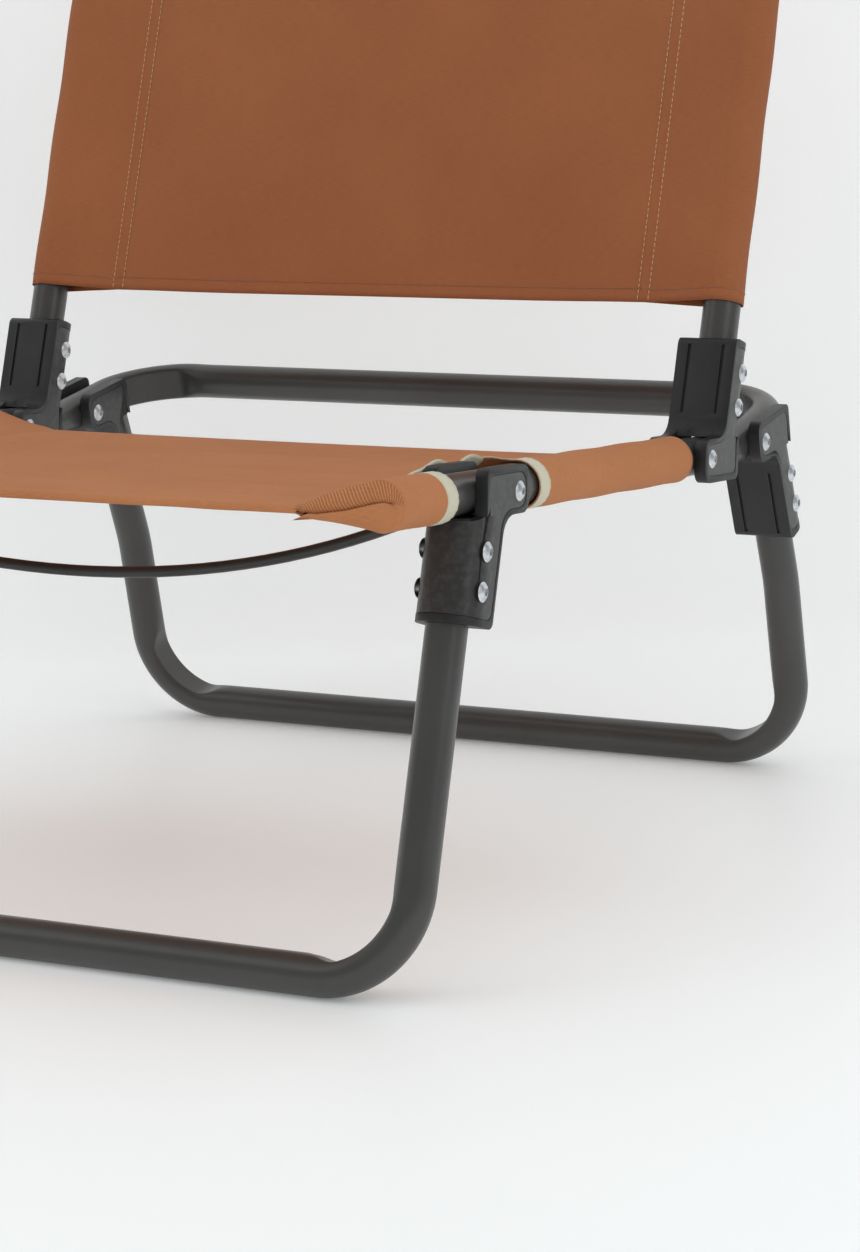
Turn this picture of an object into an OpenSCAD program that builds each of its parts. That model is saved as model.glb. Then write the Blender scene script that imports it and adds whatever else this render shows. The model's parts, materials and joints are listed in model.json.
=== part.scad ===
// Low folding camp chair. A bent tube seat frame carries a slung canvas seat. A front leg, a rear
// leg and a back frame, each one bent tube, fold on six riveted brackets.
// X runs across the chair, +Y to its back, +Z up, and the chair stands on z = 0.

/* [Tube] */
// Outside diameter of the frame tube
tube_d = 25; // [24.5:0.1:25.4]
// Wall of the frame tube
tube_wall = 1.5; // [1:0.1:2]
// Radius of the corner bends, on the tube's axis
bend_r = 56; // [56:1:64]

/* [Seat frame] */
// Distance between the two rails, axis to axis
span = 534; // [460:2:620]
// Height of the rail's axis at the front pivot
seat_h = 278; // [260:1:300]
// Slope of the rails, falling to the back, in degrees
rail_slope = 5.27; // [4:0.01:6]
// Length of rail in front of the front pivot
rail_front = 126.5; // [110:0.5:140]
// From the front pivot to the back frame's pivot, along the rail
back_d = 278; // [262:1:286]
// From the front pivot to the bend where the rail turns up
kink_d = 342.6; // [339:0.1:345]
// Rise of the frame behind that bend, in degrees
loop_rise = 7.8; // [6:0.1:9]
// From the front pivot to the rear leg's pivot
rear_d = 367.8; // [365:0.1:371]
// From the front pivot to the crossbar behind the seat
loop_d = 458.6; // [456:0.1:470]

/* [Legs and back] */
// Lean of the front leg from upright, foot forwards, in degrees
front_lean = 18.95; // [16:0.05:20]
// Lean of the rear leg's upper part, foot backwards, in degrees
rear_lean = 18.76; // [16:0.02:20]
// Lean of the rear leg's lower part, in degrees
rear_low_lean = 10.16; // [8:0.02:13]
// From the rear pivot to the bend in the rear leg, along the leg
rear_kink = 125.6; // [115:0.2:140]
// Lean of the back frame from upright, in degrees
back_lean = 20; // [17:0.5:22]
// From the back pivot to the back frame's top crossbar, along the back
back_len = 410; // [360:5:440]

/* [Brackets] */
// Offset of a leg's axis from its pivot
arm = 32; // [31:0.1:33]
// Half the width of a bracket
bracket_half = 20.8; // [20.4:0.1:21.4]
// Thickness of the steel strap
strap_t = 1.6; // [1.2:0.1:1.8]
// From the pivot to the first leg rivet, along the leg
rivet_1 = 40.7; // [39:0.1:42]
// From the first leg rivet to the second
rivet_gap = 23.2; // [21:0.1:25]
// From the pivot to the end of the steel strap
strap_end = 79; // [76:0.5:80]
// From the pivot to the end of the moulded housing
housing_end = 84; // [82:0.5:88]
// Diameter of a rivet's shank
rivet_d = 6; // [5:0.5:6.5]
// Diameter of a rivet's head
head_d = 12; // [11:0.5:13]

/* [Canvas] */
// Thickness of the canvas with its seam allowances
canvas_t = 1.1; // [0.9:0.1:1.3]
// Distance of the sleeve seams from the tube's axis
seam_in = 54; // [46:1:54]
// Rear edge of the seat, from the front pivot along the rail
seat_back_d = 259; // [240:1:262]
// Front edge of the window round a front bracket, ahead of the pivot
window_front = 66; // [62:1:72]
// Rear edge of the window round a front bracket, behind the pivot
window_back = 38; // [34:1:46]
// Width of the tape that binds the window
binding_w = 13; // [9:1:14]
// Bottom edge of the back canvas, from the back pivot along the back
back_hem = 110; // [100:1:130]

/* [Spreader rod] */
// Diameter of the rod
rod_d = 7; // [6:0.5:8]
// Depth of the bow
rod_bow = 53; // [40:1:60]
// Tilt of the bow towards the back, in degrees
rod_tilt = 19.5; // [10:0.5:24]

/* [Hidden] */
$fn = 48;

tube_r = tube_d / 2;
bore_r = tube_r - tube_wall;
half_span = span / 2;
knee = 0.12; // how far the outside of a slight bend stands proud
snug = 0.05; // radial clearance of a shank or a tube in its hole
gap = 0.3; // clearance between faces that move past each other
cut = 1; // how far a cutting shape runs past the face it cuts

// Places in the side plane, as [y, z] from the front pivot's foot on the floor.
function rail_point(d) = d <= kink_d
    ? [d * cos(rail_slope), seat_h - d * sin(rail_slope)]
    : rail_point(kink_d) + (d - kink_d) * [cos(loop_rise), sin(loop_rise)];
back_pivot = rail_point(back_d);
rear_pivot = rail_point(rear_d);
front_len = (seat_h + arm * sin(front_lean) - tube_r) / cos(front_lean);
front_foot_y = -arm * cos(front_lean) - front_len * sin(front_lean);
rear_kink_z = rear_pivot.y + arm * sin(rear_lean) - rear_kink * cos(rear_lean);
rear_low_len = (rear_kink_z - tube_r) / cos(rear_low_lean);
rear_foot_y = rear_pivot.x + arm * cos(rear_lean) + rear_kink * sin(rear_lean)
    + rear_low_len * sin(rear_low_lean);
// Shift that puts the origin under the middle of the chair
y_shift = -(front_foot_y + max(rear_foot_y, rail_point(loop_d).x)) / 2;

// Angle between a leg and the rail, on the side where the bracket's saddle lies
front_angle = 90 - front_lean + rail_slope;
rear_angle = 90 - rear_lean + loop_rise;
back_angle = 90 - back_lean + rail_slope;

// Bracket sizes. Its frame has the pivot as origin, Y towards the leg's axis and Z along the leg.
slot_half = tube_r + gap;
leg_start = 29.5; // end of the leg tube inside its housing
nose_y = 27.2; // centre of the rounded nose
side_y = 15.2; // face of the housing on the pivot's side
rim = 0.3; // groove between the strap and the housing's rim
strap_out = bracket_half - 0.2;
ear_back = 11.5; // housing's ear behind the pivot
ear_front = 41.5; // housing's ear along the rail
ear_up = 15.5; // housing's ear past the rail's axis
saddle = 12; // outline under the saddle, deepened by the slot
flat_end = 11.9; // where the flat ears end and the rounded nose starts
far = 70; // any distance past the nose
sleeve_start = 17; // nearest that a sleeve comes to a bracket's pivot
bend_room = 1.6; // depth of the room beside the frame's corner bend
bend_start = 36.5; // where that room starts, from the pivot along the rail
groove_x = 12; // the two grooves in a housing's face
groove_w = 2.2;
groove_deep = 1.4;
groove_z = [33, 79];

// Canvas sizes
sleeve_in = tube_r + gap;
sleeve_out = sleeve_in + canvas_t;
binding_t = 0.6;
window_in = 30; // inner edge of a window from the rail's axis
cap_t = 1.5; // flange of a rail end cap

// Spreader rod
rod_r = rod_d / 2;
rod_reach = half_span - tube_r; // the bow's half chord, at the rail's inner face
rod_ring = (rod_reach * rod_reach + rod_bow * rod_bow) / (2 * rod_bow);
rod_y = -60;
rod_z = seat_h - 5.7;
rod_over = 9; // how far each end reaches past the rail's inner face

// ---------- helpers ----------

// Outline whose corners are rounded. Each corner is [x, y, radius].
function unit(v) = v / norm(v);
function corner(a, b, c, r, n) = r == 0 ? [b] :
    let (
        u = unit(a - b),
        v = unit(c - b),
        half = acos(u * v) / 2,
        middle = b + unit(u + v) * r / sin(half),
        start = b + u * r / tan(half) - middle,
        end = b + v * r / tan(half) - middle,
        turn = start.x * end.y - start.y * end.x > 0 ? 180 - 2 * half : 2 * half - 180
    )
    [for (i = [0:n])
        middle + [
            start.x * cos(turn * i / n) - start.y * sin(turn * i / n),
            start.x * sin(turn * i / n) + start.y * cos(turn * i / n)
        ]];
function xy(p) = [p.x, p.y];
function rounded(corners, n = 6) =
    let (m = len(corners))
    [for (i = [0:m - 1])
        each corner(xy(corners[(i + m - 1) % m]), xy(corners[i]), xy(corners[(i + 1) % m]),
            corners[i].z, n)];

// Quarter ring that turns a bar from +Z at the origin towards -X
module corner_bar(r) {
    translate([-bend_r, 0, 0]) rotate([90, 0, 0]) rotate_extrude(angle = 90)
        translate([bend_r, 0]) circle(r = r);
}

// U-shaped bar: down a leg from the origin along +Z, across towards -X, and back up
module u_bar(leg, r) {
    for (side = [0, 1]) translate([-span / 2, 0, 0]) mirror([side, 0, 0]) translate([span / 2, 0, 0]) {
        cylinder(h = leg - bend_r, r = r);
        translate([0, 0, leg - bend_r]) corner_bar(r);
    }
    translate([bend_r - span, 0, leg]) rotate([0, 90, 0]) cylinder(h = span - 2 * bend_r, r = r);
}

// The same bar with a longer leg above the origin on each side, turned by a slight bend
module bent_u_bar(leg, upper, turn, r) {
    u_bar(leg, r);
    for (x = [0, -span]) translate([x, 0, 0]) {
        sphere(r = r + knee);
        rotate([180 + turn, 0, 0]) cylinder(h = upper, r = r);
    }
}

module u_tube(leg) {
    difference() {
        u_bar(leg, tube_r);
        translate([0, 0, -cut]) u_bar(leg + cut, bore_r);
    }
}

module bent_u_tube(leg, upper, turn) {
    difference() {
        bent_u_bar(leg, upper, turn, tube_r);
        bent_u_bar(leg, upper + cut, turn, bore_r);
    }
}

// Puts a bracket's frame at a pivot. Z runs down the leg, or up the back frame.
module at_front(side = 1) {
    translate([side * half_span, y_shift, seat_h]) rotate([180 - front_lean, 0, 0]) children();
}

module at_rear(side = 1) {
    translate([side * half_span, rear_pivot.x + y_shift, rear_pivot.y])
        rotate([0, 0, 180]) rotate([180 - rear_lean, 0, 0]) children();
}

module at_back(side = 1) {
    translate([side * half_span, back_pivot.x + y_shift, back_pivot.y])
        rotate([-back_lean, 0, 0]) children();
}

// Puts a frame on the sloping rail at the front pivot: X across, Y up from the rail and
// Z forwards along it.
module at_rail(side = 0) {
    translate([side * half_span, y_shift, seat_h]) rotate([90 - rail_slope, 0, 0]) children();
}

// Extrudes a side outline, drawn as [Y, Z], across X.
module across(half) {
    rotate([90, 0, 90]) translate([0, 0, -half]) linear_extrude(2 * half) children();
}

module cross_pin(y, z, r, half) {
    translate([-half, y, z]) rotate([0, 90, 0]) cylinder(h = 2 * half, r = r);
}

// ---------- brackets ----------

// A place on the rail, u along it and v across it towards the leg, in the bracket's frame
function on_rail(u, v, angle) = [u * sin(angle) - v * cos(angle), u * cos(angle) + v * sin(angle)];
function on_rail_r(u, v, r, angle) = concat(on_rail(u, v, angle), [r]);
function along_at(y, v, angle) = (v + y * cos(angle)) / sin(angle);

// Side outline of a bracket part: an ear beside the rail and a long cheek beside the leg
function bracket_outline(angle, ear, side, end, under, low, end_r) = [
    on_rail_r(ear[1], -ear[2], 5, angle),
    on_rail_r(ear[1], under, 9, angle),
    [far, along_at(far, under, angle), 0],
    [far, end, 0],
    [side, end, end_r],
    [side, along_at(side, low, angle), 14],
    on_rail_r(-ear[0], low, 8, angle),
    on_rail_r(-ear[0], -ear[2], 8, angle)
];

module plan_prism(r) {
    translate([0, 0, -far]) linear_extrude(3 * far) union() {
        translate([0, nose_y]) circle(r = r, $fn = 96);
        translate([-r, -far]) square([2 * r, far + nose_y]);
    }
}

// Solid that bounds a bracket's width: round in front of the leg, flat beside the rail
module bracket_block(r, angle) {
    plan_prism(r);
    across(r) polygon([for (p = [[-far, flat_end], [-far, -far], [far, -far], [far, flat_end]])
        on_rail(p.x, p.y, angle)]);
}

module strap_sheet(angle, grow) {
    across(bracket_half + cut)
        polygon(rounded(bracket_outline(angle,
            [ear_back - 4 + grow, ear_front - 4 + grow, ear_up - 4.5 + grow],
            side_y + 3 - grow, strap_end + grow, saddle + 2 - grow, 9.5 + grow, 6)));
}

// Outline of the half of the side plane past the rail's lower edge, from a place u on the rail
module rail_room(u, angle) {
    polygon([for (p = [[u, slot_half], [u, -far], [far, -far], [far, slot_half]])
        on_rail(p.x, p.y, angle)]);
}

// The bend side is the side on which the frame's corner bend runs past the bracket, or 0
module housing(angle, bend_side = 0) {
    difference() {
        intersection() {
            across(bracket_half)
                polygon(rounded(bracket_outline(angle, [ear_back, ear_front, ear_up],
                    side_y, housing_end, saddle, 13, 5)));
            bracket_block(bracket_half, angle);
        }
        // seat of the steel strap
        difference() {
            strap_sheet(angle, rim);
            bracket_block(strap_out - strap_t - snug, angle);
        }
        // slot that clears the rail at rest and while the leg folds
        across(slot_half) union() {
            rail_room(-far, angle);
            translate([-far, -far]) square([far + slot_half, 2 * far + housing_end]);
        }
        // room in the inboard ear for the start of the frame's corner bend
        if (bend_side != 0)
            translate([bend_side * (slot_half + bend_room / 2), 0, 0])
                across(bend_room / 2) rail_room(bend_start, angle);
        // socket for the leg tube
        translate([0, arm, leg_start - gap])
            cylinder(h = housing_end, r = tube_r + snug, $fn = 96);
        cross_pin(0, 0, rivet_d / 2 + snug, far);
        for (i = [0:1]) cross_pin(arm, rivet_1 + i * rivet_gap, rivet_d / 2 + snug, far);
        // room for the seat's sleeve while the bracket is folded on to it
        translate([0, 0, sleeve_start]) cylinder(h = housing_end, r = sleeve_out + gap);
        // two long grooves in the face on the pivot's side
        for (side = [-1, 1])
            translate([side * groove_x - groove_w / 2, side_y - cut, groove_z.x])
                cube([groove_w, groove_deep + cut, groove_z.y - groove_z.x]);
    }
}

module strap(angle) {
    difference() {
        intersection() {
            strap_sheet(angle, 0);
            bracket_block(strap_out, angle);
        }
        bracket_block(strap_out - strap_t, angle);
        cross_pin(0, 0, rivet_d / 2 + snug, far);
        for (i = [0:1]) cross_pin(arm, rivet_1 + i * rivet_gap, rivet_d / 2 + snug, far);
    }
}

// Rivet across the bracket, with a domed and dimpled head on each side
module rivet(y, z) {
    dome_h = 2.4;
    dimple_r = 2.2;
    dimple = 1.4;
    dome_r = (head_d * head_d / 4 + dome_h * dome_h) / (2 * dome_h);
    translate([0, y, z]) {
        rotate([0, 90, 0]) cylinder(h = 2 * strap_out + 1, r = rivet_d / 2, center = true);
        for (turn = [0, 180]) rotate([0, 90 + turn, 0]) translate([0, 0, strap_out + snug])
            difference() {
                intersection() {
                    cylinder(h = dome_h, r = head_d / 2);
                    translate([0, 0, dome_h - dome_r]) sphere(r = dome_r);
                }
                translate([0, 0, dome_h - dimple]) cylinder(h = dome_h, r = dimple_r);
            }
    }
}

module leg_rivets() {
    for (i = [0:1]) rivet(arm, rivet_1 + i * rivet_gap);
}

module leg_rivet_holes() {
    for (i = [0:1]) cross_pin(arm, rivet_1 + i * rivet_gap, rivet_d / 2 + snug, 2 * tube_r);
}

// ---------- frame ----------

module seat_frame() {
    color("#3b3b3a")
    difference() {
        translate([half_span, rail_point(kink_d).x + y_shift, rail_point(kink_d).y])
            rotate([loop_rise - 90, 0, 0])
                bent_u_tube(loop_d - kink_d, kink_d + rail_front, -rail_slope - loop_rise);
        for (side = [-1, 1]) {
            at_front(side) cross_pin(0, 0, rivet_d / 2 + snug, far);
            at_rear(side) cross_pin(0, 0, rivet_d / 2 + snug, far);
            at_back(side) cross_pin(0, 0, rivet_d / 2 + snug, far);
        }
        for (side = [-1, 1]) rod_hole(side);
    }
}

module rail_end_cap(side) {
    color("#262626")
    at_rail(side) translate([0, 0, rail_front]) {
        cylinder(h = cap_t, r = tube_r);
        translate([0, 0, -14]) difference() {
            cylinder(h = 14, r = bore_r - snug);
            translate([0, 0, -cut]) cylinder(h = 12, r = bore_r - 2);
        }
    }
}

// Plane of the bowed rod, which tilts to the back. Its origin is the centre of the bow.
module at_bow() {
    translate([0, rod_y + y_shift, rod_z]) rotate([rod_tilt, 0, 0])
        translate([0, 0, rod_ring - rod_bow]) children();
}

// Straight hole in a rail's inner side, where an end of the rod springs in
module rod_hole(side) {
    turn = asin(rod_reach / rod_ring);
    at_bow() rotate([0, -side * turn, 0]) translate([0, 0, -rod_ring])
        rotate([0, 90, 0]) cylinder(h = 2 * tube_r - 6, r = rod_r + 0.5, center = true);
}

module spreader_rod() {
    turn = asin((rod_reach + rod_over) / rod_ring);
    color("#2b2b2b") at_bow() rotate([90, 0, 0]) rotate([0, 0, 270 - turn])
        rotate_extrude(angle = 2 * turn, $fn = 180) translate([rod_ring, 0])
            circle(r = rod_r, $fn = 24);
}

module front_leg() {
    color("#3b3b3a")
    difference() {
        at_front() translate([0, arm, leg_start]) u_tube(front_len - leg_start);
        for (side = [-1, 1]) at_front(side) leg_rivet_holes();
    }
}

module rear_leg() {
    bend = rear_lean - rear_low_lean;
    color("#3b3b3a")
    difference() {
        at_rear(-1) translate([0, arm, rear_kink]) rotate([bend, 0, 0])
            bent_u_tube(rear_low_len, rear_kink - leg_start, -bend);
        for (side = [-1, 1]) at_rear(side) leg_rivet_holes();
    }
}

module back_frame() {
    color("#3b3b3a")
    difference() {
        at_back() translate([0, arm, leg_start]) u_tube(back_len - leg_start);
        for (side = [-1, 1]) at_back(side) leg_rivet_holes();
    }
}

module moulded() {
    color("#222222") children();
}

module painted() {
    color("#484847") children();
}

module zinc() {
    color("#c4c6c8") children();
}

// ---------- canvas ----------

// Section of a sleeve round a tube at the origin, drawn to a seam on the -X side. The flat sides
// start just inside the circle, so that they cross it.
module sleeve_section(r, tail) {
    touch = acos(r / tail);
    inside = 0.985 * r;
    circle(r = r);
    polygon([
        [-tail, -canvas_t / 2],
        [-inside * cos(touch), -inside * sin(touch)],
        [-inside * cos(touch), inside * sin(touch)],
        [-tail, canvas_t / 2]
    ]);
}

module both_sides() {
    for (side = [0, 1]) mirror([side, 0, 0]) children();
}

// Seat section across the rails
module seat_section(r, tail, panel) {
    both_sides() translate([half_span, 0]) sleeve_section(r, tail);
    if (panel)
        square([2 * (half_span - seam_in) + 2, canvas_t], center = true);
}

module window_boxes(grow) {
    both_sides() translate([half_span - window_in - grow / 2, -far, -window_back - grow])
        cube([2 * far, 2 * far, window_front + window_back + 2 * grow]);
}

module seat_canvas() {
    front = rail_front + cap_t + gap;
    color("#b0754c")
    at_rail() difference() {
        translate([0, 0, -seat_back_d])
            linear_extrude(seat_back_d + front + canvas_t) seat_section(sleeve_out, seam_in, true);
        translate([0, 0, -seat_back_d - cut])
            linear_extrude(seat_back_d + front + cut)
                seat_section(sleeve_in, seam_in - 4, false);
        window_boxes(0);
    }
}

// Tape on the edge of a window: a ring on each sleeve end and a strip along the inner edge
module seat_binding(side) {
    color("#d9d3bf")
    at_rail() intersection() {
        difference() {
            translate([0, 0, -window_back - binding_w])
                linear_extrude(window_front + window_back + 2 * binding_w)
                    both_sides() translate([half_span, 0])
                        sleeve_section(sleeve_out + binding_t, seam_in - 3);
            translate([0, 0, -far - window_back])
                linear_extrude(2 * far + window_front + window_back)
                    seat_section(sleeve_out + snug, seam_in, true);
            window_boxes(0);
        }
        intersection() {
            window_boxes(binding_w);
            translate([side * half_span - far, -far, -2 * far]) cube([2 * far, 2 * far, 4 * far]);
        }
    }
}

// Back canvas before it is hollowed: side sleeves, round top corners and a top sleeve
module back_shape(r, tail, low, panel) {
    corner_z = back_len - bend_r;
    corner_x = half_span - bend_r;
    both_sides() {
        translate([half_span, arm, low]) linear_extrude(corner_z - low) sleeve_section(r, tail);
        translate([corner_x, arm, corner_z]) rotate([90, 0, 0])
            rotate_extrude(angle = 90) translate([bend_r, 0]) sleeve_section(r, tail);
    }
    translate([-corner_x, arm, back_len]) rotate([0, 90, 0]) linear_extrude(2 * corner_x)
        mirror([1, 0]) sleeve_section(r, tail);
    if (panel)
        translate([-half_span + tail - 2, arm - canvas_t / 2, low])
            cube([2 * (half_span - tail + 2), canvas_t, back_len - tail + 2 - low]);
}

module back_canvas() {
    color("#925a3a")
    at_back(0) difference() {
        back_shape(sleeve_out, seam_in, back_hem, true);
        back_shape(sleeve_in, seam_in - 4, back_hem - cut, false);
    }
}

// ---------- nodes ----------

seat_frame();
rail_end_cap(-1);  // rail_end_cap_left
rail_end_cap(1);  // rail_end_cap_right
spreader_rod();
seat_canvas();
seat_binding(-1);  // seat_binding_left
seat_binding(1);  // seat_binding_right
zinc() for (s = [-1, 1]) at_front(s) rivet(0, 0);  // front_pivot_rivets
zinc() for (s = [-1, 1]) at_rear(s) rivet(0, 0);  // rear_pivot_rivets
zinc() for (s = [-1, 1]) at_back(s) rivet(0, 0);  // back_pivot_rivets
front_leg();
moulded() at_front(-1) housing(front_angle);  // front_housing_left
moulded() at_front(1) housing(front_angle);  // front_housing_right
painted() at_front(-1) strap(front_angle);  // front_strap_left
painted() at_front(1) strap(front_angle);  // front_strap_right
zinc() for (s = [-1, 1]) at_front(s) leg_rivets();  // front_leg_rivets
rear_leg();
moulded() at_rear(-1) housing(rear_angle, -1);  // rear_housing_left
moulded() at_rear(1) housing(rear_angle, 1);  // rear_housing_right
painted() at_rear(-1) strap(rear_angle);  // rear_strap_left
painted() at_rear(1) strap(rear_angle);  // rear_strap_right
zinc() for (s = [-1, 1]) at_rear(s) leg_rivets();  // rear_leg_rivets
back_frame();
moulded() at_back(-1) housing(back_angle);  // back_housing_left
moulded() at_back(1) housing(back_angle);  // back_housing_right
painted() at_back(-1) strap(back_angle);  // back_strap_left
painted() at_back(1) strap(back_angle);  // back_strap_right
zinc() for (s = [-1, 1]) at_back(s) leg_rivets();  // back_frame_rivets
back_canvas();
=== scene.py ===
import json
import math

import bmesh
import bpy
import numpy as np
from mathutils import Matrix, Vector

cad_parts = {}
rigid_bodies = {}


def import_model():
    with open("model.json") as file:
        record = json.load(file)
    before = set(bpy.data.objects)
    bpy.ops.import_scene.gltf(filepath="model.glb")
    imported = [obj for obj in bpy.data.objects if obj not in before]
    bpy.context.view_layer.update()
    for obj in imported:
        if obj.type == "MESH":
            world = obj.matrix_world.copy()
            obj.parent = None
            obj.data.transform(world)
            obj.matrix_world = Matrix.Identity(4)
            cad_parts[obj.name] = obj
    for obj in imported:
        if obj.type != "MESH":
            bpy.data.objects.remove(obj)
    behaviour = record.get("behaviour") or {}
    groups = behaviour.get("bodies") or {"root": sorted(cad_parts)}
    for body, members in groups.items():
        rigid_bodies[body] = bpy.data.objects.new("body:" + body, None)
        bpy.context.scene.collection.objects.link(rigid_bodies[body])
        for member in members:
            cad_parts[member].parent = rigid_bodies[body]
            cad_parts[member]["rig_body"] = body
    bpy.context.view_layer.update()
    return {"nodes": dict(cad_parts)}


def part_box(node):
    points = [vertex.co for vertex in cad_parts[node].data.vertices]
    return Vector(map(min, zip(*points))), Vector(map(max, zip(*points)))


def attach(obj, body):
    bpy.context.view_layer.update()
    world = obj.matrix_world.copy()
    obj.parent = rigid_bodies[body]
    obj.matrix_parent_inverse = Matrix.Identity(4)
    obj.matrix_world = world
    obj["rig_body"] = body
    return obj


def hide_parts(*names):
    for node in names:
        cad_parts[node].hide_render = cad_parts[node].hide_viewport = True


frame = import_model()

MM = 0.001

# Frame, read from the CAD nodes' boxes


def centre(node):
    low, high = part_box(node)
    return (np.array(low) + np.array(high)) / 2


def rivet_line(node, forwards):
    """Upper and lower rivet of a pair on a leg, as (y, z).

    forwards is 1 where the upper one has the larger y.
    """
    low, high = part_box(node)
    ys = (high[1] - HEAD_R, low[1] + HEAD_R)
    if forwards < 0:
        ys = (low[1] + HEAD_R, high[1] - HEAD_R)
    return np.array([ys[0], high[2] - HEAD_R]), np.array([ys[1], low[2] + HEAD_R])


TUBE_R = 12.5 * MM
HEAD_R = 6 * MM
BEND_R = 56 * MM
SLEEVE_R = 13.9 * MM
CLOTH_T = 1.1 * MM
LOOP_RISE = 7.8
TIP_REACH = 126.5 * MM

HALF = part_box("seat_frame")[1][0] - TUBE_R
FRONT = centre("front_pivot_rivets")[1:]
BACK = centre("back_pivot_rivets")[1:]
REAR = centre("rear_pivot_rivets")[1:]
RAIL_SLOPE = (BACK[1] - FRONT[1]) / (BACK[0] - FRONT[0])
LOOP_SLOPE = math.tan(math.radians(LOOP_RISE))
RAIL_DIR = np.array([1.0, RAIL_SLOPE]) / math.hypot(1.0, RAIL_SLOPE)
KINK_Y = REAR[1] - LOOP_SLOPE * REAR[0] - FRONT[1] + RAIL_SLOPE * FRONT[0]
KINK_Y = KINK_Y / (RAIL_SLOPE - LOOP_SLOPE)
RAIL_TIP = FRONT - RAIL_DIR * TIP_REACH
LOOP_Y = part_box("seat_frame")[1][1] - TUBE_R


def rail_z(y):
    """Height of the rail's axis at a place along the seat."""
    y = np.asarray(y)
    rail = FRONT[1] + RAIL_SLOPE * (y - FRONT[0])
    return np.maximum(rail, REAR[1] + LOOP_SLOPE * (y - REAR[0]))


def smooth(t):
    t = np.clip(t, 0.0, 1.0)
    return t * t * (3 - 2 * t)


def unit(v):
    v = np.asarray(v, float)
    return v / np.maximum(np.linalg.norm(v, axis=-1, keepdims=True), 1e-12)


# Materials


class Nodes:
    """A material's node tree, built a node at a time."""

    def __init__(self, name):
        self.material = bpy.data.materials.new(name)
        self.material.use_nodes = True
        self.tree = self.material.node_tree
        self.shader = self.tree.nodes["Principled BSDF"]

    def add(self, kind, values=(), **settings):
        node = self.tree.nodes.new(kind)
        for key, value in settings.items():
            setattr(node, key, value)
        for key, value in dict(values).items():
            self.put(node.inputs[key], value)
        return node

    def put(self, socket, value):
        if isinstance(value, bpy.types.NodeSocket):
            self.tree.links.new(value, socket)
        else:
            socket.default_value = value

    def set(self, **values):
        for key, value in values.items():
            self.put(self.shader.inputs[key.replace("_", " ")], value)

    def maths(self, operation, a, b=0.0):
        node = self.add("ShaderNodeMath", operation=operation)
        self.put(node.inputs[0], a)
        self.put(node.inputs[1], b)
        return node.outputs[0]

    def noise(self, scale, detail=3.0, vector=None, roughness=0.55):
        values = {"Scale": scale, "Detail": detail, "Roughness": roughness}
        node = self.add("ShaderNodeTexNoise", values)
        self.put(node.inputs["Vector"], vector or self.place())
        return node.outputs["Fac"]

    def place(self):
        return self.add("ShaderNodeTexCoord").outputs["Object"]

    def ramp(self, fac, stops):
        node = self.add("ShaderNodeValToRGB", {"Fac": fac})
        elements = node.color_ramp.elements
        while len(elements) < len(stops):
            elements.new(0.5)
        for element, (place, colour) in zip(elements, stops):
            element.position = place
            element.color = (*colour, 1.0)
        return node.outputs["Color"]

    def range(self, value, low, high):
        node = self.add("ShaderNodeMapRange", {"Value": value, "To Min": low, "To Max": high})
        return node.outputs["Result"]

    def mix(self, fac, a, b, blend="MIX"):
        node = self.add("ShaderNodeMix", data_type="RGBA", blend_type=blend)
        self.put(node.inputs[0], fac)
        self.put(node.inputs[6], a if isinstance(a, bpy.types.NodeSocket) else (*a, 1.0))
        self.put(node.inputs[7], b if isinstance(b, bpy.types.NodeSocket) else (*b, 1.0))
        return node.outputs[2]

    def bump(self, height, distance, strength=1.0, normal=None):
        values = {"Height": height, "Distance": distance, "Strength": strength}
        node = self.add("ShaderNodeBump", values)
        if normal is not None:
            self.put(node.inputs["Normal"], normal)
        return node.outputs["Normal"]

    def edges(self):
        """High where the surface is convex, for wear along edges."""
        point = self.add("ShaderNodeNewGeometry").outputs["Pointiness"]
        return self.range(point, 0.0, 1.0)


def painted_metal(name, dark, light, roughness=0.36, grain=900.0):
    m = Nodes(name)
    cloud = m.noise(14.0, 4.0)
    fine = m.noise(grain, 2.0)
    tone = m.ramp(cloud, [(0.3, dark), (0.7, light)])
    worn = m.ramp(m.edges(), [(0.56, (0, 0, 0)), (0.64, (1, 1, 1))])
    patches = m.ramp(m.noise(220.0, 5.0), [(0.45, (0, 0, 0)), (0.7, (1, 1, 1))])
    scuffs = m.maths("MULTIPLY", worn, patches)
    pale = tuple(2.1 * c for c in light)
    m.set(
        Base_Color=m.mix(m.maths("MULTIPLY", scuffs, 0.5), tone, pale),
        Roughness=m.range(m.noise(60.0, 5.0), roughness - 0.07, roughness + 0.09),
        Metallic=0.25,
        Normal=m.bump(fine, 0.00006, 0.55, m.bump(m.noise(45.0), 0.0002, 0.35)),
        Coat_Weight=0.18,
        Coat_Roughness=0.22,
    )
    return m.material


def moulded_plastic(name, dark, light, roughness=0.42):
    m = Nodes(name)
    tone = m.ramp(m.noise(30.0, 4.0), [(0.3, dark), (0.7, light)])
    worn = m.ramp(m.edges(), [(0.55, (0, 0, 0)), (0.66, (1, 1, 1))])
    pale = tuple(1.7 * c for c in light)
    m.set(
        Base_Color=m.mix(m.maths("MULTIPLY", worn, 0.35), tone, pale),
        Roughness=m.range(m.noise(90.0, 4.0), roughness - 0.06, roughness + 0.1),
        Normal=m.bump(m.noise(1600.0, 2.0), 0.00005, 0.7),
        Specular_IOR_Level=0.45,
    )
    return m.material


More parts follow.
